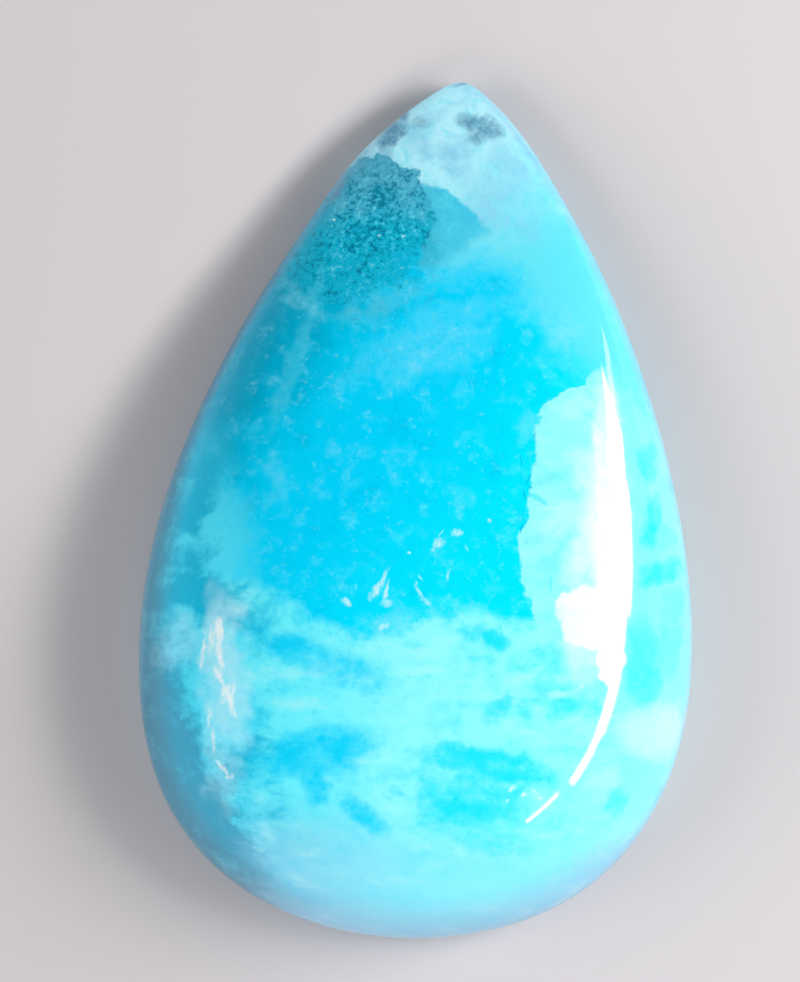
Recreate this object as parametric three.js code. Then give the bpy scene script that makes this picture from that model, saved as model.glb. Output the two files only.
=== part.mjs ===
// A polished pear-shaped cabochon of Caribbean calcite: one stone, cut with a flat back and a high dome.
// Units are millimetres. +Z points up out of the dome and +Y points to the pear's tip. The origin is in
// the plane of the flat back, under the middle of the outline's box, and the stone lies on that back.

import * as THREE from "three";
import { mergeVertices } from "three/addons/utils/BufferGeometryUtils.js";

// Driving dimensions
const LENGTH = 38.0; // from the round end to the tip
const WIDTH = 24.6; // across the girdle at its widest
const THICKNESS = 7.2; // from the back to the crown, the highest point of the dome
const GIRDLE_LOW = 0.9; // height where the bevel of the back meets the girdle
const GIRDLE_HIGH = 1.4; // height where the girdle turns into the dome
const BEVEL_SHARE = 0.055; // how far the bevel comes in, as a share of the way to the crown
const CROWN = new THREE.Vector2(0, -6.3); // the crown's place, seen from above, where the stone is widest
const SECTION_POWER = 2.2; // 2 makes a section an ellipse, and more gives a flatter top and steeper sides
const TIP_POWER = 1.6; // 1 lets the ridge fall to the tip as the width does, and more makes it fall faster

// How finely the stone is cut into faces
const STEPS_PER_POINT = 6;
const FINE_STEPS_PER_POINT = 40;
const DOME_RINGS = 24;
const BEVEL_RINGS = 4;

// The points that steer the pear's outline, counter-clockwise from the tip. The tip leans to one side,
// because the stone was shaped by hand.
const OUTLINE = [
  [2.1, 19.3], [0.5, 18.4], [-2.5, 16.1], [-4.6, 13.1], [-8.0, 8.1], [-11.0, 1.8],
  [-12.6, -4.6], [-12.2, -12.5], [-7.6, -17.7], [-0.1, -19.6], [7.5, -17.8], [11.9, -12.1],
  [12.6, -4.6], [11.2, 2.8], [9.0, 9.2], [6.9, 13.2], [4.8, 16.7], [3.3, 18.2],
].map(([x, y]) => new THREE.Vector2(x, y));

// A smooth closed curve pulled towards its points: a uniform cubic B-spline.
class ClosedSpline extends THREE.Curve {
  constructor(points) {
    super();
    this.points = points;
  }

  getPoint(t) {
    const count = this.points.length;
    const along = (t % 1) * count;
    const first = Math.floor(along);
    const s = along - first;
    const weights = [
      (1 - s) ** 3 / 6,
      (3 * s ** 3 - 6 * s ** 2 + 4) / 6,
      (-3 * s ** 3 + 3 * s ** 2 + 3 * s + 1) / 6,
      s ** 3 / 6,
    ];
    const sum = new THREE.Vector2();
    weights.forEach((weight, k) => {
      sum.addScaledVector(this.points[(first + k + count - 1) % count], weight);
    });
    return sum;
  }
}

// The outline as points, stretched and moved so that its box is WIDTH by LENGTH around the origin.
function outlinePoints(steps) {
  const spline = new ClosedSpline(OUTLINE);
  const points = Array.from({ length: steps }, (_, i) => spline.getPoint(i / steps));
  const box = new THREE.Box2().setFromPoints(points);
  const centre = box.getCenter(new THREE.Vector2());
  const stretch = new THREE.Vector2(WIDTH, LENGTH).divide(box.getSize(new THREE.Vector2()));
  return points.map((point) => point.sub(centre).multiply(stretch));
}

// The profile to turn, from the middle of the back, round the bevel and girdle, to the top of the dome.
// x is the share of the way from the crown to the outline, and y is the height.
function sectionPoints() {
  const section = [new THREE.Vector2(0, 0)];
  for (let k = 0; k <= BEVEL_RINGS; k++) {
    const turn = (k / BEVEL_RINGS) * (Math.PI / 2);
    const inset = BEVEL_SHARE * (1 - Math.sin(turn));
    section.push(new THREE.Vector2(1 - inset, GIRDLE_LOW * (1 - Math.cos(turn))));
  }
  const rise = THICKNESS - GIRDLE_HIGH;
  for (let k = 0; k < DOME_RINGS; k++) {
    const turn = (k / DOME_RINGS) * (Math.PI / 2);
    section.push(new THREE.Vector2(Math.cos(turn), GIRDLE_HIGH + rise * Math.sin(turn)));
  }
  section.push(new THREE.Vector2(0, THICKNESS));
  return section;
}

// The middle and half the width of the outline, measured straight across the stone at y.
function acrossAt(y, outline) {
  const crossings = outline.flatMap((a, i) => {
    const b = outline[(i + 1) % outline.length];
    const crosses = a.y !== b.y && (a.y - y) * (b.y - y) <= 0;
    return crosses ? [THREE.MathUtils.lerp(a.x, b.x, (y - a.y) / (b.y - a.y))] : [];
  });
  const [left, right] = [Math.min(...crossings), Math.max(...crossings)];
  return { middle: (left + right) / 2, half: (right - left) / 2 };
}

// The dome's height over a place. Each section across the stone is a flattened ellipse, which gets lower
// as the stone narrows, and faster towards the tip than towards the round end.
function domeHeight(place, outline) {
  const widest = acrossAt(CROWN.y, outline).half;
  const { middle, half } = acrossAt(place.y, outline);
  const ridge = (half / widest) ** (place.y > CROWN.y ? TIP_POWER : 1);
  const aside = Math.min(Math.abs(place.x - middle) / half, 1);
  return GIRDLE_HIGH + (THICKNESS - GIRDLE_HIGH) * ridge * Math.sqrt(1 - aside ** SECTION_POWER);
}

// The profile is turned on a lathe, each of its rings is drawn out to the pear's outline, and the rings
// above the girdle are lifted to the dome.
function cabochonGeometry() {
  const outline = outlinePoints(OUTLINE.length * STEPS_PER_POINT);
  const fineOutline = outlinePoints(OUTLINE.length * FINE_STEPS_PER_POINT);
  const section = sectionPoints();
  const turned = new THREE.LatheGeometry(section, outline.length);
  const position = turned.getAttribute("position");
  for (let i = 0; i < position.count; i++) {
    const around = Math.floor(i / section.length) % outline.length;
    const { x: share, y: height } = section[i % section.length];
    const place = CROWN.clone().lerp(outline[around], share);
    const onDome = height > GIRDLE_HIGH;
    position.setXYZ(i, place.x, place.y, onDome ? domeHeight(place, fineOutline) : height);
  }
  turned.deleteAttribute("normal");
  turned.deleteAttribute("uv");
  const geometry = mergeVertices(turned);
  geometry.computeVertexNormals();
  return geometry;
}

const calcite = new THREE.MeshStandardMaterial({
  color: new THREE.Color().setRGB(0.16, 0.76, 0.88, THREE.SRGBColorSpace),
  roughness: 0.08,
  metalness: 0,
});

const cabochon = new THREE.Mesh(cabochonGeometry(), calcite);
cabochon.name = "cabochon";

const stone = new THREE.Group();
stone.add(cabochon);

export default stone;
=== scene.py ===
"""A polished pear-shaped cabochon of Caribbean calcite, on a pale studio floor."""

import math

import bpy
from bpy.props import FloatProperty, FloatVectorProperty, IntProperty, PointerProperty
from mathutils import Matrix, Vector


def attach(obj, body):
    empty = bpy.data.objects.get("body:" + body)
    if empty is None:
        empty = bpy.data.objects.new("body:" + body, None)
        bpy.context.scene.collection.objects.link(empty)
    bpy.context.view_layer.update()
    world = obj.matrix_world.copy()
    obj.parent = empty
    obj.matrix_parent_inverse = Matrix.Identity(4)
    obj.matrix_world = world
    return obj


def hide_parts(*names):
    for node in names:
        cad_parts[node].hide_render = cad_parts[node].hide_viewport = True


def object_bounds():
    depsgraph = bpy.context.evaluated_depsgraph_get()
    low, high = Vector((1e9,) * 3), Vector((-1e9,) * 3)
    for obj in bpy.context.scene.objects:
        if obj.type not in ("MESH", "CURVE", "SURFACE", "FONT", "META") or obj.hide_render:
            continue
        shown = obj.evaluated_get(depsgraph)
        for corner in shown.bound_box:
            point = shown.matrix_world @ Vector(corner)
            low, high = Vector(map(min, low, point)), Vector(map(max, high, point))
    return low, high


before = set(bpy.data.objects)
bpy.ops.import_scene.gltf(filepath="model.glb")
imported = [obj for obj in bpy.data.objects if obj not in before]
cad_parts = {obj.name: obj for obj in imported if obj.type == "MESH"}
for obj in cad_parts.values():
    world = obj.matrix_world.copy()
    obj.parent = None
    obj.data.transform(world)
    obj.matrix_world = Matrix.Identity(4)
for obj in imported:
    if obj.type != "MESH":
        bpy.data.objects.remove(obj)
CAD_LOW, CAD_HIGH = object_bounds()
CAD_SIZE = CAD_HIGH - CAD_LOW

bl_info = {
    "name": "Calcite Cabochon",
    "version": (1, 0, 0),
    "blender": (4, 5, 0),
    "location": "View3D > Sidebar > Calcite",
    "description": "Cuts a polished pear-shaped calcite cabochon and sets up a pale studio around it",
    "category": "Object",
}

MM = 0.001
WALL_HEIGHT = 2 * MM  # of the thin wall on the outline that the stone's width is measured against
MEASURING_REACH = 100 * MM  # how far a measuring ray goes
SEAM_GAP = 1e-4 * MM  # points closer than this are one point

# The points that steer the pear's outline, in millimetres, counter-clockwise from the tip.
OUTLINE = [
    (2.1, 19.3), (0.5, 18.4), (-2.5, 16.1), (-4.6, 13.1), (-8.0, 8.1), (-11.0, 1.8), (-12.6, -4.6),
    (-12.2, -12.5), (-7.6, -17.7), (-0.1, -19.6), (7.5, -17.8), (11.9, -12.1), (12.6, -4.6), (11.2, 2.8),
    (9.0, 9.2), (6.9, 13.2), (4.8, 16.7), (3.3, 18.2),
]

# Small pits that the polish left open, in millimetres, seen from above.
PITS = [
    (1.8, -0.95), (1.0, -1.35), (0.8, -1.55), (-0.3, -1.8), (3.2, -0.4), (-1.3, -3.95), (-3.0, -3.95),
    (4.3, -12.1), (4.75, -12.4), (5.3, -12.5), (0.35, -3.6),
]

# What the stone's colours do, seen from above, in millimetres. A spot is an ellipse: x, y, half its
# length, half its width, its turn in degrees, and how strongly it covers what is under it.

# The lower edge of the cloudy end's cover, as x and y.
CLOUD_EDGE = [
    (-13.0, -1.6), (-9.5, -2.2), (-7.0, -3.0), (-5.5, -4.0), (-3.0, -4.9), (-1.0, -4.9), (0.3, -4.3),
    (2.0, -4.0), (4.5, -4.6), (7.0, -4.4), (13.0, -4.6),
]
# The left edge of the mint patch, as y and x. The patch is pale mint stone, partly a painted reflection of
# the window.
MINT_EDGE = [
    (-7.0, 5.4), (-4.4, 5.0), (-3.5, 4.8), (-2.5, 4.4), (-1.5, 4.5), (0.0, 4.8), (1.2, 4.9), (2.8, 5.1),
    (4.2, 5.4), (5.1, 6.1), (5.5, 7.2), (6.2, 8.2), (7.2, 10.5),
]
# The upper edge of the grainy patch by the tip, as x and y.
GRAIN_EDGE = [
    (-6.0, 12.2), (-4.0, 14.2), (-3.0, 15.1), (-1.7, 15.9), (-0.9, 15.5), (-0.5, 15.15), (0.0, 14.95),
    (0.4, 14.4), (0.7, 13.4), (1.2, 12.0),
]
# The upper and lower edges of the plain teal wedge beside it, as x and y.
WEDGE_TOP = [(-2.0, 15.0), (0.4, 14.7), (1.0, 14.4), (2.0, 13.8), (2.7, 13.0), (3.2, 12.6), (4.5, 12.0)]
WEDGE_FOOT = [(-2.0, 10.5), (0.4, 10.7), (1.5, 11.0), (2.2, 11.6), (3.0, 12.3), (4.5, 13.5)]
# The lower edge of the pale tip, as x and y.
TIP_EDGE = [
    (-6.0, 16.0), (-1.7, 15.9), (-0.6, 15.2), (0.4, 13.0), (1.2, 11.6), (2.6, 11.9), (4.2, 11.3),
    (5.1, 10.4), (5.6, 9.4), (6.6, 8.1), (8.0, 6.8), (11.0, 4.5),
]
# Grey smudges by the tip.
SMUDGES = [
    (-0.95, 16.75, 0.7, 0.38, 50, 0.95), (-0.45, 17.45, 0.3, 0.14, 55, 0.9),
    (-1.3, 16.2, 0.5, 0.3, 80, 0.6), (0.3, 17.1, 0.35, 0.2, 0, 0.45), (2.9, 17.05, 0.8, 0.32, -12, 0.9),
    (2.75, 16.65, 0.45, 0.2, 30, 0.7), (2.3, 17.1, 0.25, 0.2, 0, 0.6), (3.4, 17.2, 0.4, 0.2, -50, 0.5),
    (-3.45, 14.35, 0.45, 0.22, 70, 0.95), (2.0, 19.0, 0.35, 0.1, 0, 0.6),
]
# Faint clouds inside the pale tip.
LILAC_CLOUDS = [
    (1.5, 15.9, 0.8, 0.5, 20, 0.6), (1.7, 15.0, 0.7, 0.35, -20, 0.65), (3.4, 14.2, 0.8, 0.4, 0, 0.4),
    (0.4, 16.4, 0.6, 0.4, 40, 0.5), (2.2, 18.2, 0.5, 0.3, 0, 0.35), (3.0, 13.4, 0.7, 0.4, -40, 0.5),
    (3.9, 15.3, 0.8, 0.4, -50, 0.45), (0.9, 17.7, 0.6, 0.3, 20, 0.4), (4.9, 12.6, 0.9, 0.4, -60, 0.35),
]
# Where the grainy patch lies, and where it thins out downwards.
GRAIN_SPOTS = [
    (-1.5, 14.2, 2.0, 1.6, 75, 1.0), (-2.0, 12.9, 1.9, 1.5, 30, 0.95), (-0.6, 12.9, 1.2, 1.0, 100, 0.9),
    (-2.6, 11.2, 2.4, 1.5, 20, 0.6), (-4.4, 10.9, 1.8, 1.0, 55, 0.55), (-2.0, 10.0, 2.2, 1.6, 0, 0.3),
    (0.0, 11.3, 1.0, 0.8, 0, 0.3),
]
# Pale spots and hazes in the cyan body.
PALE_SPOTS = [
    (0.3, 6.6, 0.45, 0.35, 30, 0.75), (0.1, 7.2, 0.8, 0.5, 20, 0.4), (-0.4, 7.3, 0.8, 0.4, 0, 0.25),
    (6.3, 8.0, 0.5, 0.4, 0, 0.85), (6.2, 7.5, 0.4, 0.4, 0, 0.45), (6.0, 6.9, 0.4, 0.5, 0, 0.25),
    (-5.6, 9.8, 0.4, 0.35, 40, 0.6), (-5.0, 9.6, 0.4, 0.3, 0, 0.3), (1.1, 8.6, 0.75, 0.35, 35, 0.4),
    (2.7, 7.7, 0.2, 0.2, 0, 0.5), (0.5, 4.8, 0.3, 0.25, 0, 0.3), (2.3, 5.6, 0.2, 0.15, 0, 0.35),
    (-1.5, 5.6, 0.25, 0.25, 0, 0.35), (4.6, 3.9, 0.25, 0.4, 0, 0.5), (-4.0, 2.8, 0.3, 0.2, 40, 0.3),
    (-3.0, 1.2, 0.25, 0.2, 0, 0.25), (-6.0, 1.4, 0.5, 0.4, 20, 0.4), (-6.6, 0.6, 0.3, 0.3, 0, 0.3),
    (-4.9, -0.3, 0.2, 0.2, 0, 0.3), (-1.4, -5.0, 0.45, 0.3, 0, 0.7), (-1.6, -5.7, 0.7, 0.12, 75, 0.5),
    (3.9, 9.4, 0.35, 0.3, 0, 0.3), (3.0, 8.6, 0.3, 0.2, 0, 0.3), (0.6, 7.2, 2.2, 0.9, 15, 0.5),
    (-0.5, 9.4, 1.2, 0.4, 30, 0.35), (2.2, 9.0, 1.3, 0.5, 10, 0.3), (-2.6, 8.4, 0.9, 0.3, 0, 0.35),
    (4.8, 9.2, 0.9, 0.4, -40, 0.4), (-2.4, 6.0, 0.7, 0.3, 60, 0.3),
]
# The thin veil that runs down the left of the body.
VEIL = [
    (-4.55, 9.1, 1.3, 0.22, 78, 0.34), (-4.9, 7.8, 1.5, 0.26, 72, 0.34), (-5.6, 5.8, 1.7, 0.26, 72, 0.3),
]
# The clouds of the left side, and the dark places between them. The dark places low on the left, inside the
# rim, are painted shade.
LEFT_CLOUDS = [
    (-8.0, -0.6, 2.3, 1.1, 95, 0.7), (-7.2, -2.4, 1.5, 0.8, -35, 0.6), (-9.4, -1.7, 1.2, 0.5, -20, 0.4),
    (-8.9, 3.2, 2.8, 0.7, 62, 0.25), (-9.6, -6.2, 1.3, 0.9, 90, 0.5), (-8.3, -8.0, 2.2, 1.4, 85, 1.0),
    (-10.6, -4.9, 0.9, 0.6, 0, 0.4), (-8.8, -10.6, 1.6, 0.7, 110, 0.45), (-6.6, -12.9, 1.8, 1.0, -40, 0.35),
]
DARK_LEFT = [
    (-9.9, 0.8, 1.7, 0.8, 80, 0.7), (-9.3, -3.7, 1.5, 0.55, 10, 0.9), (-10.9, -8.2, 1.4, 0.7, 80, 0.55),
    (-10.4, -9.6, 1.2, 0.7, 75, 0.6), (-7.9, -11.3, 1.5, 0.5, 60, 0.25), (-9.6, -12.4, 2.2, 0.7, -58, 0.6),
    (-7.3, -15.0, 2.3, 0.6, -45, 0.9), (-5.2, -16.6, 1.6, 0.5, -28, 0.5), (-7.0, -4.1, 1.2, 0.35, -20, 0.5),
]
# Where the cyan shows between the clouds of the milky end, and on the right side.
CYAN_PATCHES = [
    (-4.3, -6.4, 2.4, 0.55, -20, 0.75), (-6.2, -5.6, 1.0, 0.4, -30, 0.45), (-2.7, -7.2, 0.5, 0.3, -30, 0.6),
    (-2.2, -5.0, 1.0, 0.4, -5, 0.7), (3.6, -5.6, 0.45, 0.3, -20, 0.85), (5.6, -5.9, 0.6, 0.4, 60, 0.6),
    (6.1, -6.6, 0.5, 0.35, 30, 0.7), (7.2, -7.1, 0.8, 0.25, 25, 0.6), (5.7, -7.5, 0.35, 0.5, 0, 0.5),
    (3.7, -8.5, 0.55, 0.3, 35, 0.8), (3.3, -9.0, 0.35, 0.3, 0, 0.6), (4.8, -8.5, 0.4, 0.3, 0, 0.6),
    (6.6, -8.6, 0.8, 0.4, 0, 0.6), (2.4, -6.6, 0.3, 0.2, 0, 0.3), (-4.3, -10.4, 2.2, 0.75, 8, 0.85),
    (-4.5, -11.6, 0.9, 0.45, -70, 0.8), (-4.1, -12.0, 0.5, 0.25, 30, 0.5),
    (-2.3, -13.2, 1.0, 0.38, -35, 0.7), (-0.9, -12.25, 0.3, 0.15, -20, 0.45),
    (2.6, -10.8, 1.9, 0.45, -8, 1.0), (3.7, -11.3, 0.7, 0.5, 0, 1.0), (2.6, -12.7, 1.8, 1.3, -10, 0.8),
    (3.2, -14.3, 1.6, 0.5, -5, 0.65), (5.2, -11.6, 0.9, 0.5, -30, 0.5), (0.4, -13.3, 0.3, 0.3, 0, 0.55),
    (0.4, -12.4, 0.35, 0.2, 60, 0.5), (-7.0, -8.9, 0.9, 0.4, 30, 0.35), (1.0, -14.9, 0.7, 0.2, 0, 0.3),
    (5.6, -14.2, 1.4, 0.45, 20, 0.35), (4.6, -6.7, 0.5, 0.3, 20, 0.5), (2.4, -5.3, 0.6, 0.25, 10, 0.45),
    (7.7, -8.8, 0.4, 0.3, 0, 0.5), (-5.0, -16.9, 1.0, 0.25, -20, 0.4), (-6.5, -7.0, 0.8, 0.3, -20, 0.35),
]
RIGHT_PATCHES = [
    (10.2, 2.2, 0.75, 0.45, 80, 0.7), (10.4, -0.5, 1.0, 0.4, 85, 0.85), (10.8, -2.7, 0.95, 0.5, 15, 0.85),
    (9.95, -6.8, 1.7, 0.7, 95, 0.65), (11.2, -6.0, 1.1, 0.5, 90, 0.45), (8.7, -12.8, 0.6, 0.45, 0, 0.6),
    (7.3, -10.1, 0.5, 0.35, 60, 0.3), (9.9, 5.0, 0.5, 0.3, 80, 0.3), (11.0, -1.2, 0.5, 0.3, 90, 0.4),
    (7.0, 5.9, 0.9, 0.25, 20, 0.35), (11.4, -4.2, 0.8, 0.4, 85, 0.4),
]
# Whiter clouds of the right side.
WHITE_CLOUDS = [
    (10.6, -9.7, 1.5, 1.1, 0, 0.75), (7.4, -9.9, 0.6, 0.4, 30, 0.35), (8.0, -12.0, 0.8, 0.5, 30, 0.3),
    (6.1, -7.9, 0.4, 0.2, 0, 0.5), (8.6, 5.3, 0.7, 0.4, 0, 0.45),
]
# Painted highlight: the soft white fade along the inner side of the window's gleam.
PAINTED_GLEAM = [
    (8.4, 3.6, 1.6, 0.4, 92, 0.5), (8.3, -0.6, 2.4, 0.7, 92, 0.68), (7.3, -1.9, 1.0, 0.5, 60, 0.4),
    (7.6, -5.8, 1.2, 0.8, 70, 0.4), (7.6, 1.4, 1.0, 0.5, 100, 0.25), (7.0, 4.6, 0.8, 0.3, 10, 0.2),
    (6.2, -0.6, 0.8, 0.5, 40, 0.2),
]
# The white block beside the window's gleam: whitish stone under a painted reflection of the window.
WHITE_BLOCK_AND_GLEAM = [
    (7.4, -4.5, 1.35, 1.2, 0, 1.0), (6.65, -3.95, 0.65, 0.5, 0, 1.0), (6.8, -5.1, 0.75, 0.55, 90, 1.0),
    (7.6, -5.4, 1.1, 0.8, -20, 1.0), (8.4, -4.0, 1.0, 0.95, 0, 1.0), (8.5, -6.4, 1.1, 0.6, 90, 1.0),
]
# Cyan notches in the mint patch, and hairline cracks along its left edge.
NOTCHES = [
    (5.3, 0.55, 0.6, 0.14, -35, 0.8), (5.85, -3.2, 0.5, 0.05, 95, 0.6), (5.0, 4.7, 0.3, 0.15, 60, 0.6),
]
CRACKS = [
    (4.9, 1.35, 0.3, 0.05, 60, 0.8), (4.75, 0.65, 0.25, 0.05, 100, 0.8), (4.55, -0.8, 0.3, 0.05, 75, 0.6),
    (4.6, 2.2, 0.3, 0.04, 95, 0.5), (4.95, 1.0, 0.12, 0.05, 0, 0.7), (5.2, 3.3, 0.3, 0.04, 80, 0.5),
]
# Feathery white wisps on the left.
WISPS = [
    (-8.6, -5.2, 0.55, 0.24, 95, 1.0), (-8.55, -6.3, 0.9, 0.16, 96, 0.7), (-9.3, -6.2, 0.9, 0.1, 83, 0.5),
    (-8.55, -7.2, 0.6, 0.14, -62, 0.8), (-8.15, -8.2, 0.75, 0.16, -72, 1.0),
    (-7.95, -7.7, 0.45, 0.08, 80, 0.6), (-8.3, -7.9, 0.5, 0.28, 80, 0.6),
    (-8.85, -10.0, 0.7, 0.14, 92, 0.35), (-8.45, -11.2, 0.55, 0.12, -50, 0.4),
    (-9.0, -9.0, 0.6, 0.1, 80, 0.3), (-8.1, -11.6, 0.25, 0.16, 0, 0.4), (-8.9, -5.6, 0.8, 0.2, 80, 0.4),
]
# The glow in the stone around the wisps.
GLOWS = [
    (-8.6, -5.8, 1.6, 0.6, 92, 0.65), (-8.2, -8.0, 1.5, 0.7, 100, 0.6), (-8.7, -10.6, 1.6, 0.5, 100, 0.35),
    (-10.6, -5.9, 0.8, 0.7, 0, 0.3),
]
# Small white flecks, most of them along the edge of the cloudy end.
FLECKS = [
    (1.8, -0.95, 0.27, 0.2, 0, 0.6), (1.0, -1.4, 0.3, 0.22, 40, 0.65), (0.75, -1.65, 0.16, 0.12, 0, 0.5),
    (-0.3, -1.8, 0.07, 0.07, 0, 0.7), (3.2, -0.4, 0.1, 0.13, 0, 0.5), (-1.45, -3.0, 0.6, 0.12, 62, 0.7),
    (-1.75, -3.5, 0.5, 0.2, 50, 0.7), (-1.3, -3.5, 0.5, 0.1, 75, 0.7), (-1.3, -4.0, 0.28, 0.2, 0, 0.6),
    (-3.0, -3.95, 0.26, 0.18, -30, 0.8), (0.15, -3.5, 0.55, 0.09, -65, 0.6),
    (0.45, -3.95, 0.3, 0.12, -45, 0.6), (1.4, -2.8, 0.3, 0.09, 80, 0.5), (-1.4, -5.0, 0.35, 0.16, 20, 0.5),
    (1.1, -0.9, 0.3, 0.05, 60, 0.4), (0.2, -2.9, 0.25, 0.05, -50, 0.4), (-2.6, -3.3, 0.25, 0.05, 80, 0.3),
    (2.2, -1.6, 0.2, 0.05, 100, 0.3), (4.2, -12.05, 0.22, 0.12, 40, 0.9), (4.7, -12.4, 0.2, 0.08, 20, 0.8),
    (5.1, -12.15, 0.14, 0.06, -30, 0.8), (5.4, -12.5, 0.2, 0.06, 10, 0.7), (4.0, -12.6, 0.1, 0.1, 0, 0.7),
    (7.75, -10.4, 0.32, 0.08, 80, 0.8), (3.0, 17.65, 0.3, 0.07, 50, 0.9), (3.3, 17.35, 0.1, 0.06, 0, 0.6),
    (-1.6, 12.1, 0.06, 0.06, 0, 0.7), (-3.6, 12.85, 0.12, 0.05, 0, 0.6), (-0.5, 12.1, 0.1, 0.05, 0, 0.6),
    (4.8, 10.2, 0.04, 0.04, 0, 0.6), (7.2, -7.6, 0.2, 0.08, 0, 0.4),
]

# The kinds of spot by the field that they fill, each with how soft its edges are: those with ragged edges,
# those with cloudy ones, and which of them stay off the back.
RAGGED_SPOTS = {
    "grain_cover": (GRAIN_SPOTS, 0.8),
    "left_cloud": (LEFT_CLOUDS, 0.7),
    "cyan_patch": (CYAN_PATCHES, 0.85),
    "right_patch": (RIGHT_PATCHES, 0.5),
    "white_cloud": (WHITE_CLOUDS, 0.5),
    "haze": (PAINTED_GLEAM, 0.9),
    "veil": (VEIL, 0.8),
    "smudge": (SMUDGES, 0.7),
}
CLOUDY_SPOTS = {
    "glow": (GLOWS, 0.9),
    "left_shade": (DARK_LEFT, 0.6),
    "lilac_cloud": (LILAC_CLOUDS, 0.7),
    "pale_spot": (PALE_SPOTS, 0.8),
}
FRONT_ONLY = ["grain_cover", "haze", "veil", "smudge", "glow", "pale_spot"]


def srgb(red, green, blue):
    """A colour as a screen shows it, from 0 to 255, turned into the linear values that Blender works in."""

    def linear(part):
        part /= 255
        return part / 12.92 if part <= 0.04045 else ((part + 0.055) / 1.055) ** 2.4

    return (linear(red), linear(green), linear(blue))


class Value:
    """A number that a node tree works out. Arithmetic on it adds the Math nodes for it."""

    def __init__(self, nodes, socket):
        self.nodes = nodes
        self.socket = socket

    def math(self, operation, *terms):
        return self.nodes.add("ShaderNodeMath", {"operation": operation}, dict(enumerate(terms)))

    def __add__(self, other):
        return self.math("ADD", self, other)

    def __radd__(self, other):
        return self.math("ADD", other, self)

    def __sub__(self, other):
        return self.math("SUBTRACT", self, other)

    def __rsub__(self, other):
        return self.math("SUBTRACT", other, self)

    def __mul__(self, other):
        return self.math("MULTIPLY", self, other)

    def __rmul__(self, other):
        return self.math("MULTIPLY", other, self)

    def __truediv__(self, other):
        return self.math("DIVIDE", self, other)

    def __rtruediv__(self, other):
        return self.math("DIVIDE", other, self)

    def __pow__(self, other):
        return self.math("POWER", self, other)

    def __gt__(self, other):
        return self.math("GREATER_THAN", self, other)

    def __lt__(self, other):
        return self.math("LESS_THAN", self, other)

    def __abs__(self):
        return self.math("ABSOLUTE", self)

    def largest(self, other):
        return self.math("MAXIMUM", self, other)

    def smallest(self, other):
        return self.math("MINIMUM", self, other)


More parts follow.
